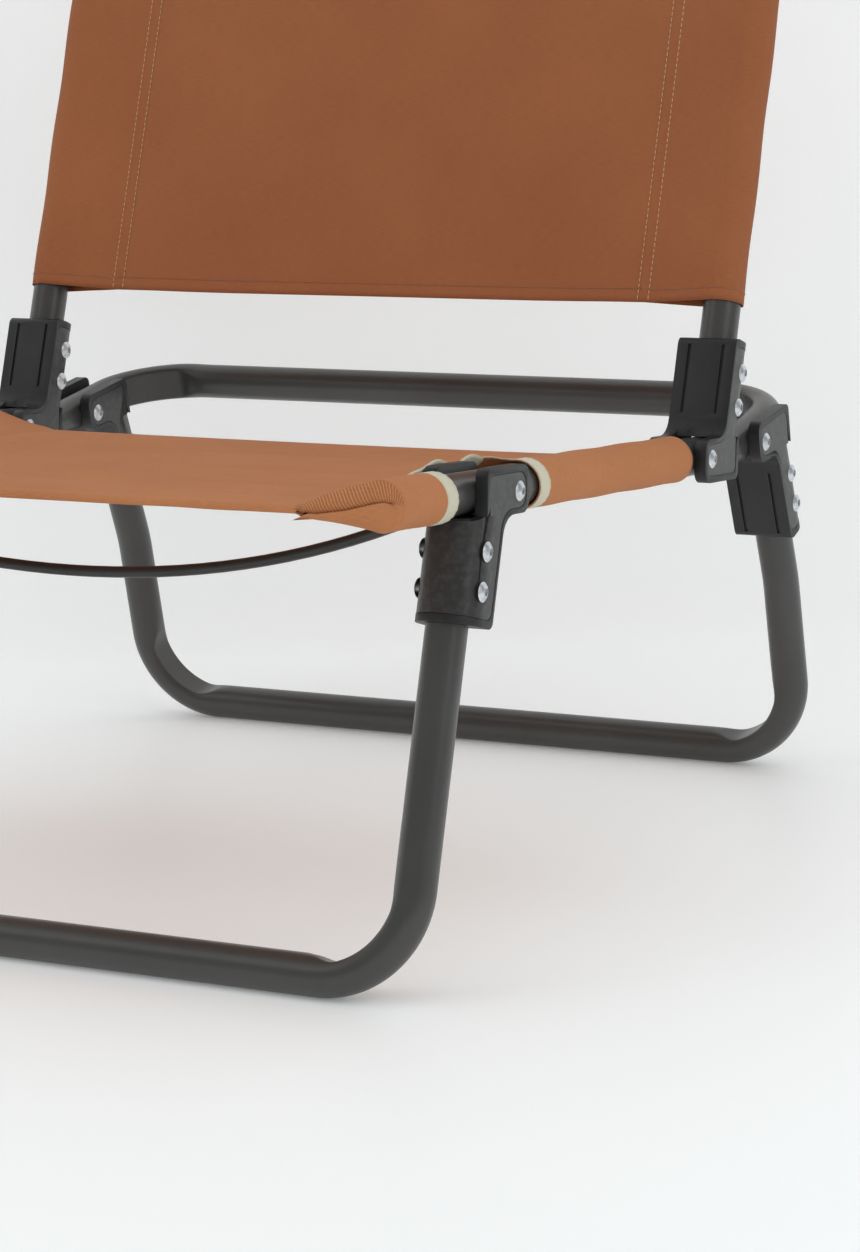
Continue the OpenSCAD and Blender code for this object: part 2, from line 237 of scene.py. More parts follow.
def zinc(name):
    m = Nodes(name)
    tone = m.ramp(m.noise(380.0, 4.0), [(0.3, (0.52, 0.54, 0.56)), (0.7, (0.76, 0.78, 0.8))])
    m.set(
        Base_Color=tone,
        Metallic=0.95,
        Roughness=m.range(m.noise(300.0, 4.0), 0.24, 0.42),
        Normal=m.bump(m.noise(700.0, 3.0), 0.00008, 0.5),
    )
    return m.material


def cloth(name, dark, light, thread=0.55, twill=False, rough=0.86, contrast=0.16):
    """Woven cloth: threads follow the piece's UVs, in metres along and across the cut."""
    m = Nodes(name)
    uv = m.add("ShaderNodeTexCoord").outputs["UV"]
    axes = m.add("ShaderNodeSeparateXYZ", {"Vector": uv})
    turns = 2 * math.pi / (thread * MM)
    warble = m.range(m.noise(420.0, 2.0, uv), -0.9, 0.9)
    across = m.maths("ADD", m.maths("MULTIPLY", axes.outputs[0], turns), warble)
    along = m.maths("ADD", m.maths("MULTIPLY", axes.outputs[1], turns), warble)
    if twill:
        halves = [m.maths("MULTIPLY", turn, 0.5) for turn in (across, along)]
        weave = m.maths("SINE", m.maths("ADD", *halves))
    else:
        weave = m.maths("MULTIPLY", m.maths("SINE", across), m.maths("SINE", along))
    slubs = m.add("ShaderNodeMapping", {"Vector": uv, "Scale": (1.0, 14.0, 1.0)}).outputs["Vector"]
    streak = m.noise(160.0, 3.0, slubs)
    cloud = m.noise(9.0, 4.0, uv)
    streaks = m.maths("MULTIPLY", streak, 0.6)
    mottle = m.maths("ADD", streaks, m.maths("MULTIPLY", cloud, 0.4))
    tone = m.ramp(mottle, [(0.34, dark), (0.66, light)])
    shade = m.range(weave, 1.0 - contrast, 1.0 + contrast)
    grey = m.add("ShaderNodeCombineColor", {"Red": shade, "Green": shade, "Blue": shade})
    height = m.maths("ADD", m.maths("MULTIPLY", weave, 0.5), streaks)
    m.set(
        Base_Color=m.mix(1.0, tone, grey.outputs[0], "MULTIPLY"),
        Roughness=m.range(streak, rough - 0.06, min(1.0, rough + 0.08)),
        Normal=m.bump(height, 0.00022 if twill else 0.00012, 0.6),
        Sheen_Weight=0.04,
        Sheen_Roughness=0.5,
        Specular_IOR_Level=0.12,
    )
    return m.material


def thread_material(name, colour):
    m = Nodes(name)
    dark = tuple(0.72 * c for c in colour)
    twist = m.ramp(m.noise(1800.0, 2.0), [(0.35, dark), (0.65, colour)])
    m.set(
        Base_Color=twist,
        Roughness=m.range(m.noise(500.0), 0.6, 0.8),
        Normal=m.bump(m.noise(2500.0, 2.0), 0.0001, 0.6),
        Sheen_Weight=0.2,
    )
    return m.material


def surface_material(name, dark, light, roughness):
    m = Nodes(name)
    m.set(
        Base_Color=m.ramp(m.noise(1.3, 4.0), [(0.35, dark), (0.65, light)]),
        Roughness=m.range(m.noise(3.0, 3.0), roughness - 0.04, roughness + 0.04),
        Normal=m.bump(m.noise(40.0, 3.0), 0.0004, 0.12),
        Specular_IOR_Level=0.35,
    )
    return m.material


PAINT = painted_metal("painted_tube", (0.054, 0.053, 0.051), (0.066, 0.065, 0.063))
STRAP = painted_metal("painted_strap", (0.029, 0.028, 0.027), (0.038, 0.037, 0.036), 0.4)
PLASTIC = moulded_plastic("black_plastic", (0.012, 0.012, 0.012), (0.02, 0.02, 0.021))
ROD = painted_metal("rod_paint", (0.022, 0.022, 0.022), (0.034, 0.034, 0.034), 0.42)
ZINC = zinc("zinc_rivet")
SEAT_CLOTH = cloth("seat_cloth", (0.47, 0.185, 0.076), (0.59, 0.245, 0.105))
SEAT_TWILL = cloth("seat_twill", (0.37, 0.145, 0.06), (0.54, 0.225, 0.098), 1.1, True, 0.9, 0.24)
BACK_CLOTH = cloth("back_cloth", (0.32, 0.109, 0.046), (0.405, 0.148, 0.064))
TAPE = cloth("binding_tape", (0.6, 0.56, 0.42), (0.78, 0.74, 0.6), 0.9, False, 0.9, 0.2)
THREAD = thread_material("tan_thread", (0.62, 0.36, 0.19))
THREAD_DARK = thread_material("rust_thread", (0.3, 0.11, 0.045))
THREAD_CREAM = thread_material("cream_thread", (0.66, 0.62, 0.48))


# Mesh code


def add_object(name, data):
    obj = bpy.data.objects.new(name, data)
    bpy.context.scene.collection.objects.link(obj)
    return obj


def piece(name, verts, faces, body, material, replaces=(), uvs=None):
    mesh = bpy.data.meshes.new(name)
    places = [tuple(map(float, v)) for v in verts]
    mesh.from_pydata(places, [], [tuple(map(int, f)) for f in faces])
    if uvs is not None:
        layer = mesh.uv_layers.new(name="cut")
        for loop in mesh.loops:
            layer.data[loop.index].uv = uvs[loop.vertex_index]
    mesh.validate()
    mesh.polygons.foreach_set("use_smooth", [True] * len(mesh.polygons))
    obj = add_object(name, mesh)
    for one in material if isinstance(material, list) else [material]:
        mesh.materials.append(one)
    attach(obj, body)
    if replaces:
        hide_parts(*replaces)
    return obj


def apply_modifiers(obj):
    depsgraph = bpy.context.evaluated_depsgraph_get()
    mesh = bpy.data.meshes.new_from_object(obj.evaluated_get(depsgraph))
    obj.modifiers.clear()
    obj.data = mesh


def thicken(obj, thickness):
    """Gives a sheet its thickness on its inner side."""
    solid = obj.modifiers.new("thickness", "SOLIDIFY")
    solid.thickness = thickness
    solid.offset = -1.0
    solid.use_even_offset = True
    apply_modifiers(obj)


def grid_faces(rows, columns, closed=False):
    faces = []
    for i in range(rows - 1):
        for j in range(columns if closed else columns - 1):
            k = (j + 1) % columns
            near, far = i * columns, (i + 1) * columns
            faces.append((near + j, near + k, far + k, far + j))
    return faces


# Bent tubes

RING = 56
PRESS_DEPTH = 5.4 * MM
PRESS_EARLY = 10 * MM
PRESS_RAMP = 26 * MM
PRESS_SWELL = 0.12
PRESS_EDGE = 0.5 * MM
FINE_BAR = 24 * MM
KNEE_R = 110 * MM
KNEE_DOWN = 61.7 * MM
BEND_STEPS = 36
LONGEST_STEP = 12 * MM
TUBE_START = 11 * MM


def fillet(points, radius, step=3 * MM):
    """A polyline in the (y, z) plane with its inner corners rounded, as closely set points."""
    points = [np.asarray(p, float) for p in points]
    out = [points[0]]
    for before, corner, after in zip(points, points[1:], points[2:]):
        a, b = unit(before - corner), unit(after - corner)
        half = math.acos(np.clip(a @ b, -1, 1)) / 2
        reach = radius / math.tan(half)
        middle = corner + unit(a + b) * radius / math.sin(half)
        start, end = corner + a * reach, corner + b * reach
        turn = math.pi - 2 * half
        count = max(4, int(turn * radius / step))
        for k in range(count + 1):
            t = k / count
            ray = math.sin((1 - t) * turn) / math.sin(turn) * (start - middle)
            ray = ray + math.sin(t * turn) / math.sin(turn) * (end - middle)
            out.append(middle + ray)
    out.append(points[-1])
    fine = [out[0]]
    for p in out[1:]:
        count = max(1, int(np.linalg.norm(p - fine[-1]) / LONGEST_STEP))
        start = fine[-1]
        fine += [start + (p - start) * (k + 1) / count for k in range(count)]
    return np.array(fine)


def u_centreline(leg):
    """Stations of a U tube, each a place, a direction and the way into the bend.

    They follow the right leg, given as (y, z) points down to the crossbar, its bend and
    half of the crossbar, and then the same mirrored.
    """
    leg = np.asarray(leg, float)
    heading = unit(leg[-1] - leg[-2])
    bend_from = leg[-1] - heading * BEND_R
    path = fillet([*leg[:-1], bend_from], KNEE_R)
    along = unit(np.gradient(path, axis=0))
    stations = []
    for p, d in zip(path, along):
        stations.append(((HALF, *p), (0, *d), (-1, 0, 0)))
    bar = HALF - BEND_R
    for k in range(1, BEND_STEPS + 1):
        a = math.pi / 2 * k / BEND_STEPS
        p = bend_from + heading * BEND_R * math.sin(a)
        x = bar + BEND_R * math.cos(a)
        tangent = (-math.sin(a), *(heading * math.cos(a)))
        inward = (-math.cos(a), *(-heading * math.sin(a)))
        stations.append(((x, *p), tangent, inward))
    fine = np.linspace(bar, bar - FINE_BAR, 13)[1:]
    coarse = np.linspace(bar - FINE_BAR, 0, 18)[1:]
    for x in (*fine, *coarse):
        stations.append(((x, *leg[-1]), (-1, 0, 0), (0, *(-heading))))
    flip = np.array([-1.0, 1.0, 1.0])
    right = [tuple(np.array(v, float) for v in s) for s in stations]
    left = [(p * flip, -(t * flip), n * flip) for p, t, n in reversed(right[:-1])]
    return right + left


def pressed_section(depth):
    """Ring of the tube in (inward, across) coordinates, flattened on the bend's inner side."""
    a = np.linspace(0, 2 * math.pi, RING, endpoint=False)
    c, s = np.cos(a) * TUBE_R, np.sin(a) * TUBE_R
    limit = TUBE_R - depth
    if depth > 0:
        c = limit - PRESS_EDGE * np.logaddexp(0, (limit - c) / PRESS_EDGE)
        c = np.minimum(c, np.cos(a) * TUBE_R)
    s = s * (1 + PRESS_SWELL * depth / TUBE_R)
    return c, s


def pressed_tube(node, leg, body):
    """A U tube whose two bends are pressed flat on their inner side, in place of a CAD node."""
    stations = u_centreline(leg)
    places = np.array([s[0] for s in stations])
    length = run_of(places)
    bends = []
    curved = np.array([0 < abs(s[1][0]) < 0.9999 for s in stations])
    middle = len(stations) // 2
    for part in (range(middle), range(middle, len(stations))):
        inside = [length[i] for i in part if curved[i]]
        bends.append((min(inside) - PRESS_EARLY, max(inside) + PRESS_EARLY))
    verts = []
    for k, (p, t, n) in enumerate(stations):
        depth = 0.0
        for low, high in bends:
            rise = smooth((length[k] - low) / PRESS_RAMP)
            rise = rise * smooth((high - length[k]) / PRESS_RAMP)
            depth = max(depth, PRESS_DEPTH * rise)
        across = np.cross(t, n)
        c, s = pressed_section(depth)
        verts += [p + n * a + across * b for a, b in zip(c, s)]
    faces = grid_faces(len(stations), RING, True)
    last = (len(stations) - 1) * RING
    faces += [tuple(range(RING)), tuple(reversed(range(last, last + RING)))]
    obj = piece(f"{node}_tube", verts, faces, body, PAINT, (node,))
    outward(obj)
    flat_ends(obj, 60.0)


def outward(obj):
    """Makes a closed piece's normals point outwards."""
    bm = bmesh.new()
    bm.from_mesh(obj.data)
    bmesh.ops.recalc_face_normals(bm, faces=bm.faces)
    bm.to_mesh(obj.data)
    bm.free()


def flat_ends(obj, angle):
    """Sharp edges where a face turns by more than the angle."""
    bm = bmesh.new()
    bm.from_mesh(obj.data)
    for edge in bm.edges:
        flat = len(edge.link_faces) != 2 or edge.calc_face_angle(0.0) <= math.radians(angle)
        edge.smooth = flat
    bm.to_mesh(obj.data)
    bm.free()


def make_tubes():
    front_a, front_b = rivet_line("front_leg_rivets", 1)
    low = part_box("front_leg")[0]
    front_up = front_a + unit(front_a - front_b) * TUBE_START
    front_foot = np.array([low[1] + TUBE_R, low[2] + TUBE_R])
    pressed_tube("front_leg", [front_up, front_foot], "front_leg_set")

    rear_a, rear_b = rivet_line("rear_leg_rivets", -1)
    low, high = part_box("rear_leg")
    down = unit(rear_b - rear_a)
    rear_up = rear_a - down * TUBE_START
    knee = rear_b + down * KNEE_DOWN
    rear_foot = np.array([high[1] - TUBE_R, low[2] + TUBE_R])
    pressed_tube("rear_leg", [rear_up, knee, rear_foot], "rear_leg_set")

    rail = [RAIL_TIP] + [np.array([y, float(rail_z(y))]) for y in (KINK_Y, LOOP_Y)]
    pressed_tube("seat_frame", rail, "seat")

    high_b, low_a = rivet_line("back_frame_rivets", 1)
    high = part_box("back_frame")[1]
    start = low_a - unit(high_b - low_a) * TUBE_START
    top = np.array([high[1] - TUBE_R, high[2] - TUBE_R])
    pressed_tube("back_frame", [start, top], "backrest")


# Brackets: the CAD shapes with softened edges


EAR_END = 41.5 * MM
STRAP_INSET = 4 * MM
EAR_FLAT = 12 * MM
EAR_INNER = 12 * MM


def rail_axes(joint):
    """Pivot, direction of the rail on the bracket's side, direction towards the leg: (y, z)."""
    pivot, along = {
        "front": (FRONT, -RAIL_DIR),
        "rear": (REAR, unit(np.array([1.0, LOOP_SLOPE]))),
        "back": (BACK, RAIL_DIR),
    }[joint]
    towards = np.array([along[1], -along[0]]) * (1 if joint == "rear" else -1)
    return pivot, along, towards


def trim_ear(bm, joint, to_world, ear_end):
    """Ends a bracket's flat ears in a straight edge where they meet the round nose."""
    pivot, along, towards = rail_axes(joint)
    back_to_mesh = to_world.inverted()
    for vert in bm.verts:
        place = to_world @ vert.co
        offset = np.array([place.y, place.z]) - pivot
        u, v = float(offset @ along), float(offset @ towards)
        if u > ear_end and v < EAR_FLAT and abs(abs(place.x) - HALF) > EAR_INNER:
            shift = along * (ear_end - u)
            vert.co = back_to_mesh @ (place + Vector((0, shift[0], shift[1])))


def softened(node, material, width, ear_end):
    """A copy of a CAD node with its sharp edges rounded, in the node's place."""
    name = f"{node}_soft"
    source = frame["nodes"][node]
    bm = bmesh.new()
    bm.from_mesh(source.data)
    trim_ear(bm, node.split("_")[0], source.matrix_world, ear_end)
    bmesh.ops.remove_doubles(bm, verts=bm.verts, dist=2e-6)
    bmesh.ops.dissolve_limit(bm, angle_limit=math.radians(0.6), verts=bm.verts, edges=bm.edges)
    mesh = bpy.data.meshes.new(name)
    bm.to_mesh(mesh)
    bm.free()
    obj = add_object(name, mesh)
    bevel = obj.modifiers.new("edges", "BEVEL")
    bevel.width = width
    bevel.segments = 2
    bevel.limit_method = "ANGLE"
    bevel.angle_limit = math.radians(32)
    apply_modifiers(obj)
    obj.data.materials.clear()
    obj.data.materials.append(material)
    obj.data.polygons.foreach_set("use_smooth", [True] * len(obj.data.polygons))
    flat_ends(obj, 34.0)
    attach(obj, source["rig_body"])
    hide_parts(node)


def make_brackets():
    for joint in ("front", "rear", "back"):
        for side in ("left", "right"):
            housing, strap = f"{joint}_housing_{side}", f"{joint}_strap_{side}"
            softened(housing, PLASTIC, 0.9 * MM, EAR_END)
            softened(strap, STRAP, 0.45 * MM, EAR_END - STRAP_INSET)


def dress_cad_nodes():
    """Gives the CAD nodes that are shown as they are their materials."""
    looks = {"rail_end_cap_left": PLASTIC, "rail_end_cap_right": PLASTIC, "spreader_rod": ROD}
    for rivets in ("front_pivot", "rear_pivot", "back_pivot", "front_leg", "rear_leg", "back_frame"):
        looks[f"{rivets}_rivets"] = ZINC
    for name, material in looks.items():
        node = frame["nodes"][name]
        for place in range(max(1, len(node.material_slots))):
            if not node.material_slots:
                node.data.materials.append(material)
            node.material_slots[place].link = "OBJECT"
            node.material_slots[place].material = material


# Stitching


def run_of(points):
    """How far along a polyline each of its points lies."""
    return np.concatenate([[0], np.cumsum(np.linalg.norm(np.diff(points, axis=0), axis=1))])


def along_line(at, run, values):
    """A polyline's values at the given distances along it."""
    return np.array([np.interp(at, run, values[:, i]) for i in range(values.shape[1])]).T


def stitches(name, lines, body, material, pitch=3.6, length=2.7, radius=0.34):
    """Rows of stitches, each a small bowed bead of thread.

    Each line is (points, outward normals); pitch, length and radius are in millimetres.
    """
    pitch, length, radius = pitch * MM, length * MM, radius * MM
    sides, rings = 6, 6
    verts, faces = [], []
    for points, normals in lines:
        points, normals = np.asarray(points, float), unit(normals)
        run = run_of(points)
        count = int(run[-1] / pitch)
        for k in range(count):
            first = (k + 0.5) * pitch - length / 2
            at = [first + length * r / (rings - 1) for r in range(rings)]
            base = len(verts)
            middle = along_line(at, run, points)
            normal = unit(along_line(at, run, normals))
            tangent = unit(middle[-1] - middle[0])
            for r in range(rings):
                t = r / (rings - 1)
                girth = radius * (0.35 + 0.65 * math.sin(math.pi * (0.12 + 0.76 * t)))
                lift = radius * (0.9 * math.sin(math.pi * t) - 0.35)
                side = unit(np.cross(tangent, normal[r]))
                for s in range(sides):
                    a = 2 * math.pi * s / sides
                    up = normal[r] * (lift + girth * math.sin(a))
                    verts.append(middle[r] + up + side * girth * 1.25 * math.cos(a))
            for f in grid_faces(rings, sides, True):
                faces.append(tuple(base + i for i in f))
            faces.append(tuple(base + i for i in reversed(range(sides))))
            faces.append(tuple(base + (rings - 1) * sides + i for i in range(sides)))
    obj = piece(name, verts, faces, body, material)
    outward(obj)
    return obj


# Seat canvas

SEAM = 54 * MM
SEAM_DROP = -2.2 * MM
SEAT_FRONT = FRONT[0] - 129.4 * MM
SEAT_BACK = BACK[0] - 18.8 * MM
WINDOW_FRONT = FRONT[0] - 66 * MM
WINDOW_BACK = FRONT[0] + 38 * MM
WINDOW_IN = -23.5 * MM
TAPE_W = 13 * MM
TAPE_OUT = 0.75 * MM
TAPE_T = 0.55 * MM
TAPE_LAP = 7 * MM
MOUTH_CUT = 1.6 * MM
NEAR = 1e-6


def sleeve_profile(radius, tail, drop, top_marks=()):
    """Section of a sleeve round a tube, from the seam over the top and back under.

    Relative to the tube's axis: points, outward normals, and girth from the seam.
    """
    reach = math.hypot(tail, drop)
    lean = math.atan2(drop, -tail)
    touch = math.acos(radius / reach)
    top_angle = lean - touch
    bottom_angle = lean + touch
    top = radius * np.array([math.cos(top_angle), math.sin(top_angle)])
    bottom = radius * np.array([math.cos(bottom_angle), math.sin(bottom_angle)])
    seam = np.array([-tail, drop])
    marks = [*np.linspace(-tail, top[0], 17), *top_marks]
    marks = sorted({round(float(m), 6) for m in marks})
    points = [seam + (top - seam) * (m + tail) / (top[0] + tail) for m in marks]
    normals = [(math.cos(top_angle), math.sin(top_angle))] * len(points)
    sweep = (top_angle - bottom_angle) % (2 * math.pi)
    round_steps, under_steps = 32, 14
    for k in range(1, round_steps + 1):
        a = top_angle - sweep * k / round_steps
        points.append(radius * np.array([math.cos(a), math.sin(a)]))
        normals.append((math.cos(a), math.sin(a)))
    under = seam + np.array([0, -CLOTH_T * 1.35])
    for k in range(1, under_steps + 1):
        points.append(bottom + (under - bottom) * k / under_steps)
        normals.append((math.cos(bottom_angle), math.sin(bottom_angle)))
    points, normals = np.array(points), unit(np.array(normals, float))
    return points, normals, run_of(points)


def seat_columns():
    """Columns of the seat sheet, from left to right.

    Each is (x, dz, normal x, normal z, distance across the cut, dx from the rail's axis,
    girth round the sleeve or -1 in the panel).
    """
    marks = (WINDOW_IN, WINDOW_IN - TAPE_W)
    points, normals, girth = sleeve_profile(SLEEVE_R, SEAM, SEAM_DROP, marks)
    right = []
    base = HALF - SEAM
    for (dx, dz), (nx, nz), g in zip(points, normals, girth):
        right.append((HALF + dx, dz, nx, nz, base + g, dx, g))
    inner = np.linspace(-base, base, 72)[1:-1]
    panel = [(x, SEAM_DROP, 0.0, 1.0, x, x - HALF, -1.0) for x in inner]
    left = [(-x, dz, -nx, nz, -u, dx, g) for x, dz, nx, nz, u, dx, g in reversed(right)]
    return [*left, *panel, *right]


# Wavelength and height in millimetres, phase, and how far the crease runs askew
CREASES = (
    (31, 0.62, 0.9, 0.7),
    (19, 0.26, 2.1, -1.3),
    (47, 0.55, 4.0, 0.4),
    (13, 0.12, 1.2, 2.2),
    (67, 0.5, 5.3, -0.8),
)


def seat_ripples(x, y):
    """Soft crosswise creases and a slight sag of the sling."""
    u = (y - SEAT_FRONT) / (SEAT_BACK - SEAT_FRONT)
    across = np.abs(x) / (HALF - SEAM)
    free = 1 - smooth((across - 0.72) / 0.36)
    sag = -0.6 * MM * (1 - np.clip(across, 0, 1) ** 2) + (2.7 * u - 0.8) * MM
    total = np.zeros_like(y)
    for wavelength, size, phase, skew in CREASES:
        drift = 0.9 * np.sin(x / (90 * MM) + phase) + skew * x / (260 * MM)
        turn = 2 * math.pi * (y - SEAT_FRONT) / (wavelength * MM) + phase + drift
        total = total + size * MM * np.sin(turn)
    fade = smooth((y - SEAT_FRONT) / (22 * MM)) * smooth((SEAT_BACK - y) / (30 * MM))
    return sag + total * free * (0.25 + 0.75 * fade)


def corner_pulls(x, y):
    """Small pulls that run from the window's corners towards the middle of the seat."""
    total = np.zeros_like(y)
    ray = np.clip(HALF + WINDOW_IN - np.abs(x), 0, None)
    for corner_y, lean, phase in ((WINDOW_FRONT, -0.55, 0.0), (WINDOW_BACK, 0.5, 1.3)):
        offset = (y - corner_y) - lean * ray
        width = 7 * MM + 0.22 * ray
        fall = np.exp(-ray / (60 * MM)) * smooth(ray / (6 * MM))
        wave = np.exp(-((offset / width) ** 2)) * np.cos(offset / (6.5 * MM) + phase)
        total = total + 1.1 * MM * fall * wave
    return total


def window_lift(dx, y):
    """How far the free inner edge of the window stands up, in its three soft waves."""
    inside = smooth((y - WINDOW_FRONT) / (30 * MM))
    inside = inside * smooth((WINDOW_BACK + 16 * MM - y) / (16 * MM))
    t = np.clip((dx + SEAM) / (WINDOW_IN + SEAM), 0, 1)
    wave = 7.4 * MM + 2.1 * MM * np.cos(2 * math.pi * (y - FRONT[0] + 19 * MM) / (44 * MM))
    return inside * wave * t ** 2.2 * (1 - smooth((dx - WINDOW_IN) / -WINDOW_IN))


def seat_rows():
    marks = [SEAT_FRONT, WINDOW_FRONT - TAPE_W, WINDOW_FRONT]
    marks += [WINDOW_BACK, WINDOW_BACK + TAPE_W, SEAT_BACK]
    rows = [marks[0]]
    for low, high in zip(marks, marks[1:]):
        count = max(2, int(round((high - low) / (3.3 * MM))))
        rows += list(np.linspace(low, high, count + 1)[1:])
    return np.array(rows)


GAP_LINE = [(-54, -5.4), (-39, -5.6), (-19.6, -2.6), (-3.6, 1.4), (4, 2.9), (9.2, 1.6)]
GAP_LINE = np.array(GAP_LINE) * MM


def gap_point(t):
    """A point of the line on which a sleeve's mouth closes, from its axis, as (out, up)."""
    run = run_of(GAP_LINE)
    return along_line(t * run[-1], run, GAP_LINE)


def seat_sheet():
    """The seat's sheet as a grid: positions, outward normals, cut coordinates, columns' dx, rows' y."""
    columns = seat_columns()
    rows = seat_rows()
    x, dz, normal_x, normal_z, cut, dx, girth = np.array(columns, float).T
    normal = np.stack([normal_x, np.zeros_like(x), normal_z], -1)
    ys = np.repeat(rows[:, None], len(columns), 1)
    xs = np.repeat(x[None, :], len(rows), 0)
    zs = rail_z(ys) + dz[None, :]
    upper = (girth < 0) | ((girth < SEAM) & (dx <= 0))
    moved = seat_ripples(xs, ys) + corner_pulls(xs, ys)
    fading = np.where(upper, 1 - smooth((dx + SEAM) / (44 * MM)), 0.0)
    weight = np.where(girth < 0, 1.0, fading)
    seam_side = smooth((HALF - 30 * MM - np.abs(xs)) / (20 * MM))
    zs = zs + moved * weight[None, :] * seam_side
    under = ~upper & (dx < 0)
    under_fall = np.where(under, 1 - smooth((dx + SEAM) / (30 * MM)), 0.0)
    zs = zs + (moved * seam_side) * under_fall[None, :]
    zs = zs + (upper & (girth >= 0))[None, :] * window_lift(dx[None, :], ys)
    loose = 0.25 * MM * np.sin(ys / (11 * MM) + 3.1 * np.sin(girth[None, :] / (17 * MM)))
    round_it = (girth >= 0) & (dx > -40 * MM)
    swell = round_it[None, :] * (loose + 0.1 * MM)
    away = [smooth(np.abs(ys - edge) / (30 * MM)) for edge in (WINDOW_FRONT, WINDOW_BACK)]
    away = np.minimum(*away)
    points = np.stack([xs, ys, zs], -1) + normal[None, :, :] * (swell * away)[:, :, None]
    return points, normal, cut, dx, girth, rows


# Girth where the mouth's upper lip ends, and parts of the way at which the hem has
# folded over and the lips have met
LIP_END = 78 * MM
HEM_TURNED = 0.385
LIPS_MET = 0.72
MOUTH_STEPS = 11
HEM_DEPTH = 11 * MM


def mouth_rows(points, dx, girth):
    """Rows beyond the front edge.

    The panel's hem folds under, and each sleeve's mouth closes in two lips.
    """
    front = points[0]
    made = []
    total = girth.max()
    for q in range(1, MOUTH_STEPS + 1):
        row = front.copy()
        t = q / MOUTH_STEPS
        for j in range(len(front)):
            if girth[j] < 0 or dx[j] < -SEAM + 1e-6:
                turn = min(1.0, t * 2.6)
                back = max(0.0, (t - HEM_TURNED) / (1 - HEM_TURNED)) * HEM_DEPTH
                row[j, 1] += -1.1 * MM * math.sin(math.pi * turn) + back
                row[j, 2] += -(1 - math.cos(math.pi * turn)) * 1.25 * MM
                continue
            side = 1 if front[j, 0] > 0 else -1
            if girth[j] <= LIP_END:
                lip, along = 1, girth[j] / LIP_END
                fullness, roll = 3.2 * MM, 0.62
            else:
                lip, along = -1, (total - girth[j]) / (total - LIP_END)
                fullness, roll = 8.0 * MM, 0.7
            out, up = gap_point(smooth(along) * 0.5 + along * 0.5)
            target_x = side * (HALF + out)
            target_z = rail_z(front[j, 1]) + up + lip * 0.9 * MM
            blend = min(1.0, t / LIPS_MET)
            eased = smooth(blend) * 0.35 + blend * 0.65
            row[j, 0] += (target_x - front[j, 0]) * eased
            row[j, 2] += (target_z - front[j, 2]) * eased
            pocket = math.sin(math.pi * min(1.0, along * 1.05)) ** 0.7
            row[j, 1] -= fullness * math.sin(math.pi * roll * blend) * (0.35 + 0.65 * pocket)
            if t > LIPS_MET:
                tucked = (t - LIPS_MET) / (1 - LIPS_MET) * 3.6 * MM
                row[j, 1] += tucked * (0.3 + 0.7 * pocket)
        made.append(row)
    return made


def sheet_object(name, points, cut_u, cut_v, keep, material, replaces, thickness):
    """A sheet of the seat from a grid of points, with the cells that keep says."""
    rows, columns = points.shape[:2]
    verts = points.reshape(-1, 3)
    uvs = [(cut_u[j], cut_v[i]) for i in range(rows) for j in range(columns)]
    faces = [f for f, kept in zip(grid_faces(rows, columns), np.ravel(keep)) if kept]
    used = sorted({i for f in faces for i in f})
    renumber = {old: new for new, old in enumerate(used)}
    faces = [tuple(renumber[i] for i in reversed(f)) for f in faces]
    uvs = [uvs[i] for i in used]
    obj = piece(name, verts[used], faces, "seat", material, replaces, uvs)
    thicken(obj, thickness)
    return obj


def twill_lips(seat):
    """Gives the upper lip of each mouth, where the cloth's inner side shows, its coarse twill."""
    for face in seat.data.polygons:
        x, y, z = face.center
        dx = abs(x) - HALF
        if y < SEAT_FRONT - 0.2 * MM and dx > -SEAM:
            gap_z = np.interp(dx, GAP_LINE[:, 0], GAP_LINE[:, 1]) + rail_z(SEAT_FRONT)
            face.material_index = 1 if z > gap_z else 0


def window_cells(rows, dx):
    """Which cells between rows and columns lie in a window."""
    y_mid, d_mid = (rows[:-1] + rows[1:]) / 2, (dx[:-1] + dx[1:]) / 2
    return ((y_mid > WINDOW_FRONT) & (y_mid < WINDOW_BACK))[:, None] & (d_mid > WINDOW_IN)[None, :]


def sleeve_columns(points, girth, side):
    """The columns of one side's sleeve."""
    return [j for j in range(len(girth)) if girth[j] >= 0 and np.sign(points[0, j, 0]) == side]


def make_seat():
    points, normal, cut, dx, girth, rows = seat_sheet()
    extra = mouth_rows(points, dx, girth)
    all_points = np.array([*reversed(extra), *points])
    beyond = [rows[0] - MOUTH_CUT * k for k in range(len(extra), 0, -1)]
    all_rows = np.array([*beyond, *rows])
    on_sleeve = np.minimum(girth[:-1], girth[1:]) >= 0
    in_window = window_cells(all_rows, dx) & on_sleeve[None, :]
    seat = sheet_object(
        "seat_canvas_cloth", all_points, cut, all_rows, ~in_window,
        [SEAT_CLOTH, SEAT_TWILL], ("seat_canvas",), CLOTH_T,
    )
    twill_lips(seat)
    tapes = []
    for make in (make_tape, make_tape_lip):
        tapes += [make(side, points, normal, cut, dx, girth, rows) for side in (-1, 1)]
    sewn = seat_stitches(points, normal, dx, girth, rows)


